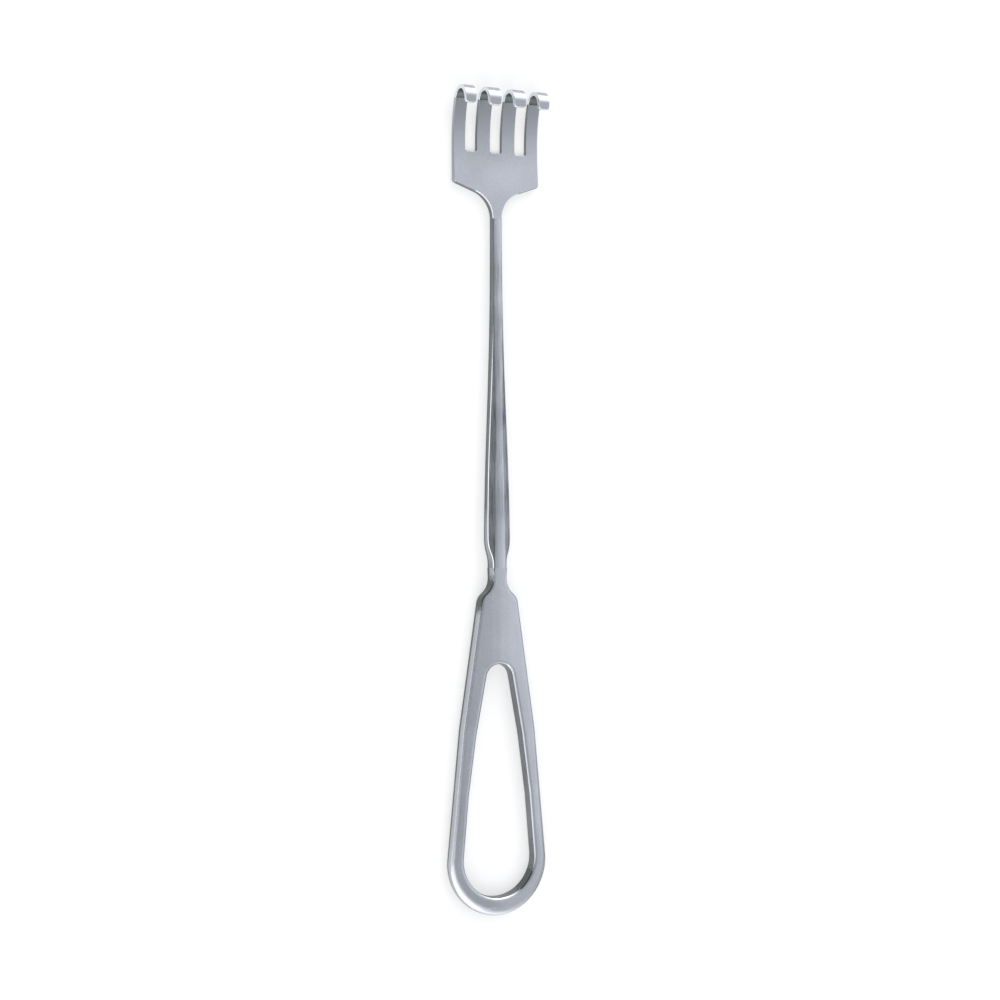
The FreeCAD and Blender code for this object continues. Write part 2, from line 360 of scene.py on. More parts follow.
def inset(points, index, distance):
    """A point of an outline moved towards the material, which lies on the left of the outline."""
    here = points[index]
    last = len(points) - 1
    before = here - points[index - 1] if index > 0 else None
    after = points[index + 1] - here if index < last else None
    sides = [Vector((-run.y, run.x)).normalized() for run in (before, after) if run]
    if len(sides) == 1:
        axis = Vector((1, 0)) if abs(sides[0].x) > abs(sides[0].y) else Vector((0, 1))
        return here + axis * math.copysign(distance, sides[0].dot(axis))
    both = sides[0] + sides[1]
    return here + both * (distance / (1 + sides[0].dot(sides[1])))


def round_profile(thickness, radius, crown):
    """Inset and height of the edge, from the front face over a soft shoulder round to the back."""
    front = []
    if crown:
        front.append((CROWN_REACH * radius, thickness))
    for step in range(EDGE_STEPS + 1):
        angle = math.pi / 2 * step / EDGE_STEPS
        height = thickness - crown - (radius - crown) * (1 - math.cos(angle))
        front.append((radius * (1 - math.sin(angle)), height))
    back = [(inwards, thickness - height) for inwards, height in reversed(front)]
    wall_top, wall_foot = front[-1][1], back[0][1]
    return front + [(0, wall_foot + SHADE_SHARE * (wall_top - wall_foot))] + back


print("edges turn in", EDGE_STEPS, "steps")

# %% [markdown]
# ## The edge of a blank
#
# The rim of a flat piece is one ribbon of quads that runs along its outline. Extruding a filled outline
# would give square edges only. So each point of the outline gets a column of vertices down the profile,
# and neighbouring columns are joined. The ribbon's strips are numbered, which is how a wall, an edge and
# a shaded foot get finishes of their own.

# %% Ribbon round an outline
def add_edge(mesh, points, thickness_at, radius_at, strip_finishes, crown_share=0.0):
    """Join columns of vertices round an outline; returns the front ends, back ends and columns.

    Strip 0 is the foot of the wall, which takes painted shade, and strip -1 is the wall above it. The
    front round runs from strip -2 up to -EDGE_STEPS - 1, and the back round from 1 to EDGE_STEPS. What
    has no finish of its own there takes the dark side finish, which is painted shade.
    """
    columns = []
    for index, here in enumerate(points):
        radius = radius_at(here)
        column = []
        for inwards, height in round_profile(thickness_at(here), radius, crown_share * radius):
            moved = inset(points, index, inwards)
            column.append(mesh.verts.new((moved.x, moved.y, height)))
        columns.append(column)
    for near, far in zip(columns, columns[1:]):
        for level in range(len(near) - 1):
            face = mesh.faces.new((near[level], far[level], far[level + 1], near[level + 1]))
            strip = level - (len(near) - 1) // 2
            if -EDGE_STEPS - 1 <= strip <= EDGE_STEPS:
                face.material_index = strip_finishes.get(strip, PAINTED_SHADE)
    return [column[0] for column in columns], [column[-1] for column in columns], columns


print("a wall is shaded over the lowest", round(100 * SHADE_SHARE), "percent")

# %% [markdown]
# ## From mesh to object
#
# Blender works in metres while a maker thinks in millimetres, so each mesh is built in millimetres and
# scaled once at the end. Smooth shading with sharp lines above an angle is enough for rounded steel. On
# pieces with large flat faces, weighted normals let those faces decide the shading, which more edge loops
# could also do at the cost of many faces.

# %% Finish a mesh
FLAT_WEIGHT = 100


def finish_mesh(name, mesh, smooth_angle):
    """Turn a bmesh in millimetres into an object in metres, smooth up to an angle in degrees."""
    bmesh.ops.recalc_face_normals(mesh, faces=mesh.faces)
    bmesh.ops.scale(mesh, vec=(MM, MM, MM), verts=mesh.verts)
    data = bpy.data.meshes.new(name)
    mesh.to_mesh(data)
    mesh.free()
    for finish in finishes:
        data.materials.append(finish)
    piece = bpy.data.objects.new(name, data)
    bpy.context.scene.collection.objects.link(piece)
    data.shade_smooth()
    data.set_sharp_from_angle(angle=math.radians(smooth_angle))
    return piece


def weight_normals(piece):
    """Let the large flat faces decide the shading, so that they look flat up to their edges."""
    weighted = piece.modifiers.new("flat faces", "WEIGHTED_NORMAL")
    weighted.keep_sharp = True
    weighted.weight = FLAT_WEIGHT


print("each piece carries", len(finishes), "finishes")

# %% [markdown]
# ## The handle's outline
#
# The real handle is a flat ring that grows into a web and a neck. Its outline is four arcs that touch
# each other: the end of the loop, a very slight bow along the limb, a round shoulder and a hollow neck.
# It could be drawn whole. Only the right half is, because a mirror gives the other half, so the two limbs
# can't differ.

# %% Outline of the handle
loop_end_radius = 14.0
loop_side_bow = 750.0
shoulder_half_width = 5.5
shoulder_radius = 4.0
shoulder_station = 82.2
neck_half_width = 2.0
neck_radius = 5.4


def handle_outline():
    """Right half of the outer edge, from the middle of the loop's end up to the weld."""
    end_centre = Vector((0, loop_end + loop_end_radius))
    shoulder_centre = Vector((shoulder_half_width - shoulder_radius, loop_end + shoulder_station))
    side_centre = bow_centre(end_centre, loop_end_radius, shoulder_centre, shoulder_radius, loop_side_bow)
    neck_x = neck_half_width + neck_radius
    reach = shoulder_radius + neck_radius
    neck_y = shoulder_centre.y + math.sqrt(reach ** 2 - (neck_x - shoulder_centre.x) ** 2)
    neck_centre = Vector((neck_x, neck_y))
    side_start = toward(side_centre, end_centre, loop_side_bow)
    side_end = toward(side_centre, shoulder_centre, loop_side_bow)
    neck_start = toward(shoulder_centre, neck_centre, shoulder_radius)
    return chain(
        arc(end_centre, Vector((0, loop_end)), side_start),
        arc(side_centre, side_start, side_end),
        arc(shoulder_centre, side_end, neck_start),
        arc(neck_centre, neck_start, Vector((neck_half_width, neck_y))),
        [Vector((neck_half_width, handle_weld))],
    )


print("handle outline has", len(handle_outline()), "points on one side")

# %% [markdown]
# ## The hole in the loop
#
# The real ring leaves a long drop-shaped hole for the fingers. It could be cut with a boolean, but its
# edge is rounded like the outer one, so it is drawn as a second outline of three touching arcs and gets
# its edge in the same way. Its points run the other way, so that the steel lies on their left again.

# %% Outline of the hole
hole_end_wall = 4.9
hole_end_radius = 10.2
hole_top_station = 66.6
hole_top_radius = 3.8
hole_side_bow = 330.0


def hole_outline():
    """Right half of the hole, from its top down to its end."""
    end_centre = Vector((0, loop_end + hole_end_wall + hole_end_radius))
    top_centre = Vector((0, loop_end + hole_top_station - hole_top_radius))
    side_centre = bow_centre(end_centre, hole_end_radius, top_centre, hole_top_radius, hole_side_bow)
    side_start = toward(side_centre, end_centre, hole_side_bow)
    side_end = toward(side_centre, top_centre, hole_side_bow)
    points = chain(
        arc(end_centre, end_centre - Vector((0, hole_end_radius)), side_start),
        arc(side_centre, side_start, side_end),
        arc(top_centre, side_end, top_centre + Vector((0, hole_top_radius))),
    )
    return list(reversed(points))


print("hole outline has", len(hole_outline()), "points on one side")

# %% [markdown]
# ## Edges and front of the handle
#
# On the real handle the edge is rounded most at the end of the loop, where the hand rubs and the mop
# presses, less along the limbs, and hardly at all at the weld. The front isn't quite flat either: it
# falls away from the middle like a very low roof, which is why the two limbs take different tones. Both
# could be sculpted. A radius and a height that depend on the place give the same forms exactly.

# %% Radius of the edge and height of the front
handle_thickness = handle_high.z
limb_edge_radius = 0.8
loop_edge_radius = 1.9
loop_edge_fade = (6.0, 26.0)
broken_edge = 0.3
limb_crown = 0.05
roof_tilt = math.radians(2.0)
roof_round = 2.4


def handle_radius(place):
    """Widest round at the loop's end, less on the limbs, fading along the neck to a broken edge."""
    station = place.y - loop_end
    fade_low, fade_high = loop_edge_fade
    on_loop = min(1, max(0, (fade_high - station) / (fade_high - fade_low)))
    neck_start = shoulder_station + shoulder_radius
    on_neck = min(1, max(0, (station - neck_start) / (handle_weld - loop_end - neck_start)))
    radius = limb_edge_radius + (loop_edge_radius - limb_edge_radius) * on_loop
    return radius + (broken_edge - radius) * on_neck


def hole_radius(place):
    """The hole's edge has the limbs' radius all round."""
    return limb_edge_radius


def even_thickness(place):
    """The blank is equally thick everywhere."""
    return handle_thickness


def roof_drop(across):
    """How far the softly roofed front has fallen at a distance from the centre line."""
    if across < roof_round:
        return math.tan(roof_tilt) * across ** 2 / (2 * roof_round)
    return math.tan(roof_tilt) * (across - roof_round / 2)


print("front falls", round(roof_drop(loop_end_radius), 2), "mm at the outside of the loop")

# %% [markdown]
# ## The handle's blank
#
# The two ribbons and three large faces, on the front, the back and the weld, close the right half of the
# blank. The outer wall is a lighter, polished strip over a foot in painted shade. The large faces are
# then cut twice near the centre line, so that the ridge of the roof is round, lowered by the roof's fall,
# and mirrored. Mirroring the mesh itself leaves no modifier behind for the cuts to come.

# %% Build the blank of the handle
# Strips 0 to 2, at the foot of the outer wall, take painted shade.
outer_finishes = {-7: FACE, -6: FACE, -5: SIDE, -4: SIDE, -3: WALL, -2: WALL, -1: WALL,
                  0: DEEP_PAINTED_SHADE, 1: DEEP_PAINTED_SHADE, 2: DEEP_PAINTED_SHADE}
hole_finishes = {-7: FACE, -6: FACE, -5: SIDE, -4: SIDE}
BLANK_SHARP = 30


def cut_across(mesh, place, direction, tolerance):
    """Cut the faces of a mesh along a plane, without parting them."""
    everything = mesh.verts[:] + mesh.edges[:] + mesh.faces[:]
    bmesh.ops.bisect_plane(mesh, geom=everything, dist=tolerance, plane_co=place, plane_no=direction)


handle_mesh = bmesh.new()
outer_front, outer_back, outer_columns = add_edge(
    handle_mesh, handle_outline(), even_thickness, handle_radius, outer_finishes, limb_crown)
hole_front, hole_back, _ = add_edge(
    handle_mesh, hole_outline(), even_thickness, hole_radius, hole_finishes, limb_crown)
weld_front = handle_mesh.verts.new((0, handle_weld, handle_thickness))
weld_back = handle_mesh.verts.new((0, handle_weld, 0))
handle_mesh.faces.new(outer_front + [weld_front] + hole_front)
handle_mesh.faces.new(outer_back + [weld_back] + hole_back)
handle_mesh.faces.new(outer_columns[-1] + [weld_back, weld_front])
for across in (roof_round / 2, roof_round):
    cut_across(handle_mesh, (across, 0, 0), (1, 0, 0), MM)
for vertex in handle_mesh.verts:
    if abs(vertex.co.x) < MM:
        vertex.co.x = 0
    vertex.co.z *= 1 - roof_drop(vertex.co.x) / handle_thickness
everything = handle_mesh.verts[:] + handle_mesh.edges[:] + handle_mesh.faces[:]
bmesh.ops.mirror(handle_mesh, geom=everything, axis="X", merge_dist=MM)
print("handle blank has", len(handle_mesh.faces), "faces")
handle = finish_mesh("handle_body", handle_mesh, BLANK_SHARP)

# %% [markdown]
# ## Width and thickness of the shank
#
# The real shank is a bar that swells just above its waist and then tapers in width and in thickness. The
# waist and the swell are two arcs that touch, and the taper is a smooth curve through a few measured
# widths. It could be one long curve, but arcs hold the tight bend at the waist better.

# %% Outline of the shank
shank_length = head_weld - handle_weld
shank_end_thickness = 2.4
waist_straight = 1.0
waist_radius = 8.0
swell_radius = 11.0
swell_half_width = 3.28
taper = [(26.0, 2.95), (50.0, 1.98), (68.0, 1.42), (shank_length, 1.3)]


def smooth_through(stations, place):
    """Value at a place on a smooth curve through stations, level at both ends."""
    for index in range(len(stations) - 1):
        low, high = stations[index], stations[index + 1]
        if place > high[0] and index < len(stations) - 2:
            continue
        slopes = []
        for at in (index, index + 1):
            if at in (0, len(stations) - 1):
                slopes.append(0)
                continue
            before, after = stations[at - 1], stations[at + 1]
            slopes.append((after[1] - before[1]) / (after[0] - before[0]))
        span = high[0] - low[0]
        t = (place - low[0]) / span
        return (low[1] * (2 * t ** 3 - 3 * t ** 2 + 1) + high[1] * (3 * t ** 2 - 2 * t ** 3)
                + span * (slopes[0] * (t ** 3 - 2 * t ** 2 + t) + slopes[1] * (t ** 3 - t ** 2)))


waist_x = neck_half_width + waist_radius
swell_x = swell_half_width - swell_radius
swell_rise = math.sqrt((waist_radius + swell_radius) ** 2 - (waist_x - swell_x) ** 2)
swell_station = waist_straight + swell_rise
touch_station = waist_straight + swell_rise * waist_radius / (waist_radius + swell_radius)


def half_width(station):
    """Half the shank's width at a distance from the weld to the handle."""
    if station < waist_straight:
        return neck_half_width
    if station < touch_station:
        return waist_x - math.sqrt(waist_radius ** 2 - (station - waist_straight) ** 2)
    if station < swell_station:
        return swell_x + math.sqrt(swell_radius ** 2 - (swell_station - station) ** 2)
    return smooth_through([(swell_station, swell_half_width)] + taper, station)


def bar_thickness(station):
    """Thickness that falls evenly from the handle's to the rake's."""
    share = station / shank_length
    return handle_thickness + (shank_end_thickness - handle_thickness) * share


print("shank is widest", round(swell_station, 1), "mm from its weld")

# %% [markdown]
# ## Corners of the shank
#
# Four flats are ground along the real bar's corners. They are slightly crowned, as a grinding belt leaves
# them, and a narrow ridge stays between each flat and the wall, coloured as a painted highlight; the wall
# below it is coloured with painted shade. A bevelled box would be quicker, but its flats couldn't be
# crowned. So the cross section is given by its corners, at any distance from the weld.

# %% Corners of the section
facet_tilt = math.radians(20)
facet_crown = 0.05
front_crown = 0.07
least_facet = 0.3
land = 0.22
land_lean = 0.7
foot_height = 0.7
flat_start = 1.5
flat_middle = 1.0
flat_middle_station = 38
flat_end = 1.3


def flat_half_width(station):
    """Half the width of the flat front between the two facets."""
    middle = (flat_middle_station, flat_middle)
    return smooth_through([(0, flat_start), middle, (shank_length, flat_end)], station)


def section_corners(station):
    """Corners of the section's right half, from the middle of the front round to that of the back."""
    width = half_width(station)
    thickness = bar_thickness(station)
    flat = min(flat_half_width(station), width - least_facet)
    facet_end = width - land_lean * land
    shoulder = thickness - front_crown * flat / flat_start
    drop = (facet_end - flat) * math.tan(facet_tilt)
    facet_middle = shoulder - drop / 2 + min(facet_crown, drop / 8)
    # Half-way out, a crowned front has fallen by a quarter of its whole fall.
    front = [
        Vector((0, thickness)),
        Vector((flat / 2, (3 * thickness + shoulder) / 4)),
        Vector((flat, shoulder)),
        Vector(((flat + facet_end) / 2, facet_middle)),
        Vector((facet_end, shoulder - drop)),
        Vector((width, shoulder - drop - land)),
    ]
    back = [Vector((corner.x, thickness - corner.y)) for corner in reversed(front)]
    wall = front[-1].y - back[0].y
    foot = Vector((width, back[0].y + min(foot_height, SHADE_SHARE * wall)))
    return front + [foot] + back


print("section has", len(section_corners(0)), "corners on one side")

# %% [markdown]
# ## Cross section of the shank
#
# No edge of the real bar is quite sharp. Wide rounds turn the crowned front and facets into smooth
# bows, and tiny ones break the ridges. They could be left to smooth shading, but a true arc catches a
# line of light as the real ridge does. Each corner is replaced by a small arc, and each stretch between
# two corners has a finish of its own.

# %% Round the corners
CORNER_STEPS = 4
SETBACK_SHARE = 0.45
front_round = 6.0
facet_start_round = 0.15
facet_round = 2.5
ridge_round = 0.06
half_rounds = [front_round, facet_start_round, facet_round, ridge_round, ridge_round]
corner_rounds = [None] + half_rounds + [None] + half_rounds[::-1] + [None]
# The wall below the ridge takes painted shade, its foot a deeper painted shade.
half_strips = [FLAT, FLAT, FACET, FACET, RIDGE_PAINTED_HIGHLIGHT, PAINTED_SHADE]
corner_strips = half_strips + [DEEP_PAINTED_SHADE, PAINTED_SHADE, FACET, FACET, FLAT, FLAT]
# The ridge's arcs take the painted highlight.
painted_highlight_corners = (4, 5)


def round_corner(before, corner, after, radius):
    """Points of an arc that replaces a corner, made smaller where the sides are short."""
    into = (before - corner).normalized()
    out = (after - corner).normalized()
    opening = into.angle(out)
    shorter_side = min((before - corner).length, (after - corner).length)
    setback = min(radius / math.tan(opening / 2), SETBACK_SHARE * shorter_side)
    radius = setback * math.tan(opening / 2)
    centre = corner + (into + out).normalized() * (radius / math.sin(opening / 2))
    return swing(centre, corner + into * setback, corner + out * setback, CORNER_STEPS)


def shank_section(station):
    """Points of the section's right half, and the finish of the strip that follows each of them."""
    corners = section_corners(station)
    points, marks = [corners[0]], [corner_strips[0]]
    for index in range(1, len(corners) - 1):
        if corner_rounds[index] is None:
            points.append(corners[index])
            marks.append(corner_strips[index])
            continue
        bow = round_corner(*corners[index - 1:index + 2], corner_rounds[index])
        points += bow
        bow_mark = RIDGE_PAINTED_HIGHLIGHT if index in painted_highlight_corners else corner_strips[index]
        marks += [bow_mark] * (len(bow) - 1) + [corner_strips[index]]
    return points + [corners[-1]], marks


print("section has", len(shank_section(0)[0]), "points on one side once it is rounded")

# %% [markdown]
# ## The loft of the shank
#
# A loft suits a tapering bar best: one section after another along Y, each with the same number of
# points, joined by quads. Scaling a box would bend its facets out of true. The sections stand close
# together at the waist and wider apart along the taper, where a long even reflection needs few of them.

# %% Join the sections
fine_step, fine_end = 0.5, 9.0
coarse_start, coarse_step = 12.0, 2.0
SHANK_SHARP = 40

stations = [0, waist_straight]
while stations[-1] < fine_end:
    stations.append(stations[-1] + fine_step)
station = coarse_start
while station < shank_length:
    stations.append(station)
    station += coarse_step
stations.append(shank_length)

shank_mesh = bmesh.new()
rings = []
for station in stations:
    half, marks = shank_section(station)
    outline = half + [Vector((-p.x, p.y)) for p in reversed(half[1:-1])]
    rings.append([shank_mesh.verts.new((p.x, handle_weld + station, p.y)) for p in outline])
for near, far in zip(rings, rings[1:]):
    for index in range(len(near)):
        after = (index + 1) % len(near)
        face = shank_mesh.faces.new((near[index], near[after], far[after], far[index]))
        face.material_index = (marks + marks[::-1])[index]
shank_mesh.faces.new(rings[0])
shank_mesh.faces.new(rings[-1])
print("shank has", len(rings), "sections of", len(rings[0]), "points")
shank = finish_mesh("shank_bar", shank_mesh, SHANK_SHARP)

# %% [markdown]
# ## The grinding wheel
#
# The flats of the real shank run on over the neck and end in a hollow on the web, where the round wheel
# left the steel. The hollow could be modelled into the blank, but on the real thing it is a cut, so here
# it is one too. The tool is a wedge that lies on the facet's plane and ends in an arc of the wheel.

# %% Wedge for one corner
runout_radius = 12.0
runout_length = 2.0
runout_sweep = math.radians(60)
runout_steps = 12


def wheel_cutter(name, side, face):
    """Wedge that cuts one corner flat: side is -1 or 1 across, face is 1 in front and -1 behind."""
    level = handle_thickness if face > 0 else 0
    fall = (shank_end_thickness - handle_thickness) / shank_length if face > 0 else 0
    across = Vector((side * math.cos(facet_tilt), 0, -face * math.sin(facet_tilt)))
    along = Vector((0, 1, fall)).normalized()
    outward = Vector((side * math.sin(facet_tilt), 0, face * math.cos(facet_tilt)))
    start = Vector((side * flat_start, handle_weld, level)) - along * runout_length - across
    profile = []
    for step in range(runout_steps + 1):
        angle = runout_sweep * (runout_steps - step) / runout_steps
        profile.append(start - along * runout_radius * math.sin(angle)
                       + outward * runout_radius * (1 - math.cos(angle)))
    profile.append(start + along * 2 * runout_length)
    profile.append(profile[-1] + outward * (profile[0] - start).dot(outward))
    mesh = bmesh.new()
    near = [mesh.verts.new(p) for p in profile]
    far = [mesh.verts.new(p + across * 2 * shoulder_half_width) for p in profile]
    mesh.faces.new(near)
    mesh.faces.new(far)
    for index in range(len(near)):
        after = (index + 1) % len(near)
        mesh.faces.new((near[index], near[after], far[after], far[index]))
    for flat in mesh.faces:
        flat.material_index = FACET
    return finish_mesh(name, mesh, BLANK_SHARP)


print("wheel starts to leave the steel", runout_length, "mm below the weld")

# %% [markdown]
# ## Grinding the neck
#
# The wedge is taken away from the handle at each of its four corners. A boolean modifier with the exact
# solver does it, and each result is made real at once, so that the wedge can be deleted and no helper
# stays in the scene. The cut faces bring the facets' finish with them.

# %% Cut the flats into the handle
GROUND_SHARP = 14


def apply_modifiers(piece):
    """Replace a piece's mesh by what its modifiers make of it."""
    graph = bpy.context.evaluated_depsgraph_get()
    done = bpy.data.meshes.new_from_object(piece.evaluated_get(graph))
    piece.modifiers.clear()
    piece.data = done


for side in (-1, 1):
    for face in (-1, 1):
        cutter = wheel_cutter("wheel", side, face)
        cut = handle.modifiers.new("grind", "BOOLEAN")
        cut.operation = "DIFFERENCE"
        cut.solver = "EXACT"
        cut.object = cutter
        apply_modifiers(handle)
        bpy.data.objects.remove(cutter)
handle.data.set_sharp_from_angle(angle=math.radians(GROUND_SHARP))
weight_normals(handle)
print("handle has", len(handle.data.polygons), "faces after grinding")

# %% [markdown]
# ## The side view of the prongs
#
# Seen from the side, each real prong rises on a wide arc and then turns back in a tight hook with a short
# straight tip. The two arcs touch, so their centres give the place where the bend starts, the angle where
# it meets the hook and the length of flat steel that is needed. The hook could be placed by eye, but then
# the prongs would come out too long or too short.

# %% Lengths along a prong
prong_thickness = 1.1
bend_radius = 36.0
hook_radius = 3.15
hook_centre_height = 5.3
tip_straight = 1.6

hook_y = rake_end - head_weld - hook_radius - prong_thickness / 2
bend_rise = bend_radius + prong_thickness / 2 - hook_centre_height
bend_start = hook_y - math.sqrt((bend_radius - hook_radius) ** 2 - bend_rise ** 2)
bend_turn = math.atan2(hook_y - bend_start, bend_rise)
hook_start = bend_start + bend_radius * bend_turn
hook_end = hook_start + hook_radius * (math.pi - bend_turn)
tip_end = hook_end + tip_straight
print("flat comb is", round(tip_end, 1), "mm long and bends from", round(bend_start, 1), "mm on")

# %% [markdown]
# ## Throat and shoulders of the rake
#
# The real rake is cut flat from one plate. Its throat flares out from the shank in an arc on each side
# and runs into a sloping shoulder with a small round corner. A box with booleans could give that, but its
# corners would stay sharp. One side is worked out from the arc's centre, and the other is its mirror.

# %% Side of the plate
rake_half_width = rake_high.x
shank_end_half_width = 1.3
throat_radius = 7.4
shoulder_slope = math.radians(20)
plate_corner_radius = 0.8


def rounded(before, corner, after, radius):
    """Arc of a corner with its true radius, in arc steps."""
    into = (before - corner).normalized()
    out = (after - corner).normalized()
    opening = into.angle(out)
    setback = radius / math.tan(opening / 2)
    centre = corner + (into + out).normalized() * (radius / math.sin(opening / 2))
    return arc(centre, corner + into * setback, corner + out * setback)


def throat():
    """Right side of the plate, from the shank's end to the rounded shoulder."""
    turn = math.pi / 2 - shoulder_slope
    centre = Vector((shank_end_half_width + throat_radius, 0))
    end = centre + Vector((-math.cos(turn), math.sin(turn))) * throat_radius
    slope = Vector((math.sin(turn), math.cos(turn)))
    corner = end + slope * ((rake_half_width - end.x) / slope.x)
    shoulder = rounded(end, corner, corner + Vector((0, 1)), plate_corner_radius)
    return chain(arc(centre, Vector((shank_end_half_width, 0)), end), shoulder)


print("side of the plate has", len(throat()), "points")

# %% [markdown]
# ## Prongs and slots
#
# The real prongs are what is left of the plate between three slots. Their blunt tips are narrowed and
# rounded, so that they hold tissue without tearing it. Each prong could be a box that is joined to the
# plate. Here the whole comb is one outline, walked once anticlockwise from the shank, so that no seam can
# open at a root.

# %% Points of the comb
prong_count = 4
slot_pitch = 7.2
slot_width = 3.25
slot_root_station = 17.6
slot_corner_radius = 0.5
tip_narrowing = 0.3
tip_corner_radius = 0.8


def prong(index):
    """A prong's edge, up its right side, round the tip and down its left side."""
    centre = (index - (prong_count - 1) / 2) * slot_pitch
    half = (slot_pitch - slot_width) / 2
    left = max(centre - half, -rake_half_width)
    right = min(centre + half, rake_half_width)
    corner_right = Vector((right - tip_narrowing, tip_end))
    corner_left = Vector((left + tip_narrowing, tip_end))
    side_right = Vector((right, hook_end - hook_radius))
    side_left = Vector((left, hook_end - hook_radius))
    return chain(
        [side_right],
        rounded(side_right, corner_right, corner_left, tip_corner_radius),
        rounded(corner_right, corner_left, side_left, tip_corner_radius),
        [side_left],
    )


def slot(index):
    """A slot's edge between two prongs, down its right side, along its root and up its left side."""
    centre = (index - (prong_count - 2) / 2) * slot_pitch
    right = Vector((centre + slot_width / 2, slot_root_station))
    left = Vector((centre - slot_width / 2, slot_root_station))
    up = Vector((0, 1))
    return chain(
        rounded(right + up, right, left, slot_corner_radius),
        rounded(right, left, left + up, slot_corner_radius),
    )


comb = throat()
for index in reversed(range(prong_count)):
    comb = chain(comb, prong(index))
    if index > 0:
        comb = chain(comb, slot(index - 1))
comb = chain(comb, [Vector((-p.x, p.y)) for p in reversed(throat())])
print("comb has", len(comb), "points")

# %% [markdown]
# ## The comb as a mesh
#
# The comb gets its edge as the handle did, at the thickness of the prongs. It is closed by one face in
# front, one behind and one at the weld, and then cut across: widely on the plate, more closely where it
# bends and most closely in the hooks. A subdivision would add as many cuts where nothing bends.

# %% Build the comb
rake_edge_radius = 0.22
comb_finishes = {-7: FACE, -6: FACE}
plate_cuts, bend_cuts, hook_cuts = 10, 10, 40
CUT_TOLERANCE = 0.002


def comb_stock(place):
    """The flat comb is as thick as its prongs everywhere."""
    return prong_thickness


def comb_radius(place):
    """The comb's edge is broken equally all round."""
    return rake_edge_radius


rake_mesh = bmesh.new()
comb_front, comb_back, comb_columns = add_edge(
    rake_mesh, comb, comb_stock, comb_radius, comb_finishes)
rake_mesh.faces.new(comb_front)
rake_mesh.faces.new(comb_back)
rake_mesh.faces.new(comb_columns[0] + list(reversed(comb_columns[-1])))
cuts = [bend_start * step / plate_cuts for step in range(1, plate_cuts)]
cuts += [bend_start + (hook_start - bend_start) * step / bend_cuts for step in range(bend_cuts + 1)]
cuts += [hook_start + (hook_end - hook_start) * step / hook_cuts for step in range(1, hook_cuts + 1)]
for station in cuts:
    cut_across(rake_mesh, (0, station, 0), (0, 1, 0), CUT_TOLERANCE)
print("comb is cut across at", len(cuts), "places")

# %% [markdown]
# ## Finishes on the rake
#
# The insides of the hooks get painted shade, and the narrow edges of the hooks and the rounded edge of
# the throat get a painted highlight. Faces could be picked by hand. While the comb is still flat, a
# face's place alone says what it is, so they are marked now, before the bend.

# %% Mark the faces of the comb
FRONT_SHARE = 0.9
ROUND_SHARE = 0.79
flank_width = 0.5

for face in rake_mesh.faces:
    middle = face.calc_center_median()
    in_hook = middle.y > hook_start
    in_front = middle.z > FRONT_SHARE * prong_thickness
    in_round = ROUND_SHARE * prong_thickness < middle.z < prong_thickness - MM
    on_throat_edge = in_round and middle.y < throat_radius
    # Hook insides get painted shade; hook edges and the throat's edge get a painted highlight.
    if face.material_index == FACE and not on_throat_edge:
        face.material_index = DEEP_PAINTED_SHADE if in_hook and in_front else FACE
    elif in_hook or on_throat_edge:
        face.material_index = PAINTED_HIGHLIGHT
    else:
        # Slot walls and other sides get painted shade, the outer flanks the lighter limb-edge finish.
        on_flank = abs(middle.x) > rake_half_width - flank_width
        face.material_index = SIDE if on_flank else PAINTED_SHADE
print("dark faces in the hooks:", sum(face.material_index == DEEP_PAINTED_SHADE for face in rake_mesh.faces))

# %% [markdown]
# ## Bending the prongs
#
# The real plate is ground from the shank's thickness down to the prongs', and the prongs are then bent in
# a press. The mesh follows the same order: the thickness is eased along the plate, and then each point is
# carried along the side view. A curve modifier could bend it, but it would stretch the steel. Here the
# hooks keep one thickness and their edges stay even.

# %% Thin the plate and bend the comb
RAKE_SHARP = 30


def plate_thickness(place):
    """Thickness that eases down from the shank's to the prongs', with no kink where they bend."""
    share = min(1, place.y / bend_start)
    eased = share * share * (3 - 2 * share)
    return shank_end_thickness + (prong_thickness - shank_end_thickness) * eased


def bend(place):
    """Where a point of the flat comb ends up once the prongs are bent."""
    if place.y < bend_start:
        return Vector((place.x, head_weld + place.y, place.z))
    rise = place.z - prong_thickness / 2
    if place.y < hook_start:
        turn = (place.y - bend_start) / bend_radius
        centre = (bend_start, prong_thickness / 2 + bend_radius)
        reach = bend_radius - rise
        past = 0
    else:
        turn = min(math.pi, bend_turn + (place.y - hook_start) / hook_radius)
        centre = (hook_y, hook_centre_height)
        reach = hook_radius - rise
        past = max(0, place.y - hook_end)
    y = centre[0] + reach * math.sin(turn) - past
    z = centre[1] - reach * math.cos(turn)
    return Vector((place.x, head_weld + y, z))


for vertex in rake_mesh.verts:
    vertex.co.z *= plate_thickness(vertex.co) / prong_thickness
    vertex.co = bend(vertex.co)
print("rake has", len(rake_mesh.faces), "faces")
rake = finish_mesh("rake_comb", rake_mesh, RAKE_SHARP)
weight_normals(rake)

# %% [markdown]
# ## Join the pieces to the frame
#
# The real pieces are welded into one rigid instrument. Each detailed piece here stands for one node of
# the imported model and rides on its only body, so that whatever moves the frame moves the pieces too.
# Parenting them by hand would do the same. The frame's own solid for each piece is hidden.

# %% Ride on the frame
for piece, node in ((handle, "handle"), (shank, "shank"), (rake, "rake_head")):
    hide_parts(node)
    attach(piece, "root")
    print(piece.name, "replaces", node)

# %% [markdown]
# ## The table
#
# The instrument lies on plain white paper. A bright lamp could bleach a grey floor, but it would bleach
# the steel as well. So the paper mixes a white glow into what the camera and the steel see of it. The
# rest of the mix is true paper, which keeps a part of the instrument's soft shadow.

# %% Table
TABLE_HALF = 3.0
SHADOW_SHARE = 0.5

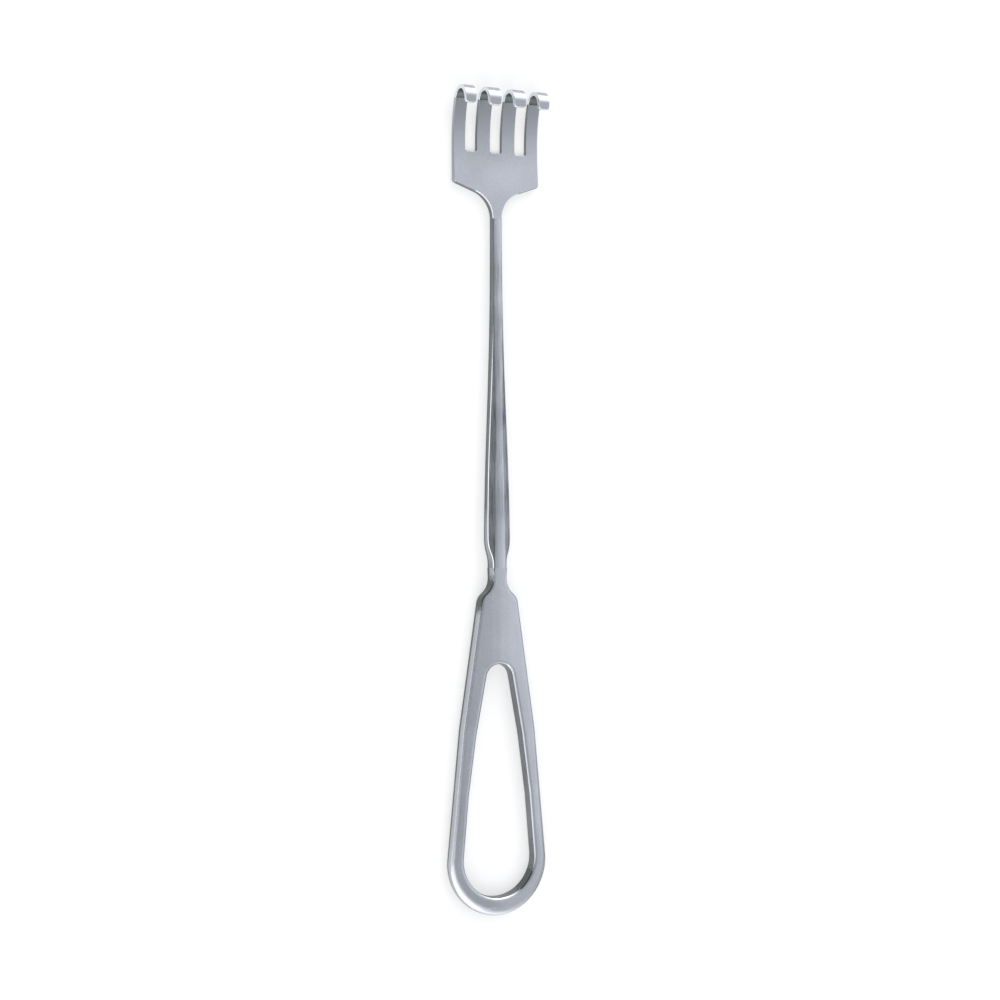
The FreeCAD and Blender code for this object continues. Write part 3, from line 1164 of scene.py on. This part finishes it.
table_mesh = bmesh.new()
bmesh.ops.create_grid(table_mesh, x_segments=1, y_segments=1, size=TABLE_HALF)
table_data = bpy.data.meshes.new("table")
table_mesh.to_mesh(table_data)
table_mesh.free()
table = bpy.data.objects.new("table", table_data)
bpy.context.scene.collection.objects.link(table)

paper = bpy.data.materials.new("white paper")
paper.use_nodes = True
nodes = paper.node_tree.nodes
links = paper.node_tree.links
sheet = nodes["Principled BSDF"]
sheet.inputs["Base Color"].default_value = (0.97, 0.97, 0.975, 1)
sheet.inputs["Roughness"].default_value = 0.9
sheet.inputs["Specular IOR Level"].default_value = 0.1
plain_white = nodes.new("ShaderNodeEmission")
path = nodes.new("ShaderNodeLightPath")
seen = nodes.new("ShaderNodeMath")
seen.operation = "MAXIMUM"
share = nodes.new("ShaderNodeMath")
share.operation = "MULTIPLY"
share.inputs[1].default_value = 1 - SHADOW_SHARE
blend = nodes.new("ShaderNodeMixShader")
links.new(path.outputs["Is Camera Ray"], seen.inputs[0])
links.new(path.outputs["Is Glossy Ray"], seen.inputs[1])
links.new(seen.outputs[0], share.inputs[0])
links.new(share.outputs[0], blend.inputs["Fac"])
links.new(sheet.outputs["BSDF"], blend.inputs[1])
links.new(plain_white.outputs["Emission"], blend.inputs[2])
links.new(blend.outputs["Shader"], nodes["Material Output"].inputs["Surface"])
table_data.materials.append(paper)
print("table is", round(table.dimensions.x, 1), "m wide")

# %% [markdown]
# ## Patches of light
#
# Metal shows its surroundings, so the room matters more than the lamps. A picture of a studio could
# surround the instrument. Soft round patches of light in chosen directions are simpler, and each can be
# changed alone. A patch is full inside its inner angle, in degrees, and gone outside its outer one.

# %% World
world = bpy.data.worlds.new("studio")
bpy.context.scene.world = world
world.use_nodes = True
nodes = world.node_tree.nodes
links = world.node_tree.links
direction = nodes.new("ShaderNodeTexCoord").outputs["Generated"]


def glow(towards, inner, outer, outside, inside):
    """Brightness that changes smoothly from outside a cone of directions to inside it."""
    facing = nodes.new("ShaderNodeVectorMath")
    facing.operation = "DOT_PRODUCT"
    facing.inputs[1].default_value = Vector(towards).normalized()
    links.new(direction, facing.inputs[0])
    ramp = nodes.new("ShaderNodeMapRange")
    ramp.interpolation_type = "SMOOTHSTEP"
    ramp.inputs["From Min"].default_value = math.cos(math.radians(outer))
    ramp.inputs["From Max"].default_value = math.cos(math.radians(inner))
    ramp.inputs["To Min"].default_value = outside
    ramp.inputs["To Max"].default_value = inside
    links.new(facing.outputs["Value"], ramp.inputs["Value"])
    return ramp.outputs["Result"]


def add_up(levels):
    """Sum of several brightness sockets."""
    total = levels[0]
    for level in levels[1:]:
        plus = nodes.new("ShaderNodeMath")
        links.new(total, plus.inputs[0])
        links.new(level, plus.inputs[1])
        total = plus.outputs[0]
    return total


print("world:", world.name)

# %% [markdown]
# ## The room
#
# One even grey could stand for a pale studio, but then the steel would look flat. A slightly brighter
# horizon lights the edges, and five patches each lift one face or edge of the steel. The camera itself
# sees plain white, so that the instrument stands alone as on a catalogue page.

# %% Light the room
horizon, zenith = 0.62, 0.50

brightness = add_up([
    glow((0, 0, 1), 60, 78, horizon, zenith),
    glow((0.67, 0.05, 0.74), 8, 24, 0, 0.75),
    glow((0.40, 0.60, 0.69), 10, 45, 0, 0.25),
    glow((0.35, 0.85, 0.40), 12, 38, 0, 1.9),
    glow((0.30, -0.88, 0.36), 8, 50, 0, 0.80),
    glow((-0.90, -0.15, 0.30), 8, 30, 0, 1.3),
])
room = nodes["Background"]
room.inputs["Color"].default_value = (0.97, 0.985, 1, 1)
links.new(brightness, room.inputs["Strength"])
white = nodes.new("ShaderNodeBackground")
white.inputs["Color"].default_value = (1, 1, 1, 1)
eye = nodes.new("ShaderNodeLightPath")
choose = nodes.new("ShaderNodeMixShader")
links.new(eye.outputs["Is Camera Ray"], choose.inputs["Fac"])
links.new(room.outputs["Background"], choose.inputs[1])
links.new(white.outputs["Background"], choose.inputs[2])
links.new(choose.outputs["Shader"], nodes["World Output"].inputs["Surface"])
print("room goes from", horizon, "at the horizon to", zenith, "overhead")

# %% [markdown]
# ## Lamps
#
# Two square soft panels stand for the lamps of a small studio. The large one at the lower left draws the
# wide bright band round the end of the loop, and the small one beyond the rake lights the far edges.
# Point lamps would give hard little stars on polished steel. Both face the middle of the instrument.

# %% Lamps
def softbox(name, place, size, watts):
    """Square soft panel that faces the middle of the instrument."""
    lamp = bpy.data.lights.new(name, "AREA")
    lamp.size = size
    lamp.energy = watts
    holder = bpy.data.objects.new(name, lamp)
    holder.location = place
    holder.rotation_euler = (-Vector(place)).to_track_quat("-Z", "Y").to_euler()
    bpy.context.scene.collection.objects.link(holder)
    return holder


lamps = [
    softbox("key panel", (-0.45, -0.70, 0.55), 1.2, 6.5),
    softbox("rear panel", (0.36, 0.88, 0.28), 0.4, 1.2),
]
print("lamps:", [lamp.name for lamp in lamps])

# %% [markdown]
# ## Camera
#
# The picture looks down from above and a little from the left, which shows the left walls. Its scale in
# pixels per millimetre and its distance give the lens, and a small shift puts the middle of the
# instrument at its pixel. Moving and zooming by hand could come near that, but could not be measured.

# %% Camera
view_distance = 0.5
view_turn = math.radians(25)
pixels_per_mm = 3.757
picture_pixels = 1000
sensor = 36.0
target = Vector((0, -0.005, 0))
target_pixel = (493.8, 522.0)

camera_data = bpy.data.cameras.new("camera")
camera_data.sensor_width = sensor
camera_data.lens = pixels_per_mm * view_distance / MM * sensor / picture_pixels
camera_data.shift_x = (picture_pixels / 2 - target_pixel[0]) / picture_pixels
camera_data.shift_y = (target_pixel[1] - picture_pixels / 2) / picture_pixels
camera = bpy.data.objects.new("camera", camera_data)
backwards = Vector((-math.sin(view_turn), 0, math.cos(view_turn)))
camera.location = target + backwards * view_distance
camera.rotation_euler = (0, -view_turn, 0)
bpy.context.scene.collection.objects.link(camera)
bpy.context.scene.camera = camera
bpy.context.scene.view_settings.view_transform = "Standard"
print("lens", round(camera_data.lens, 1), "mm")
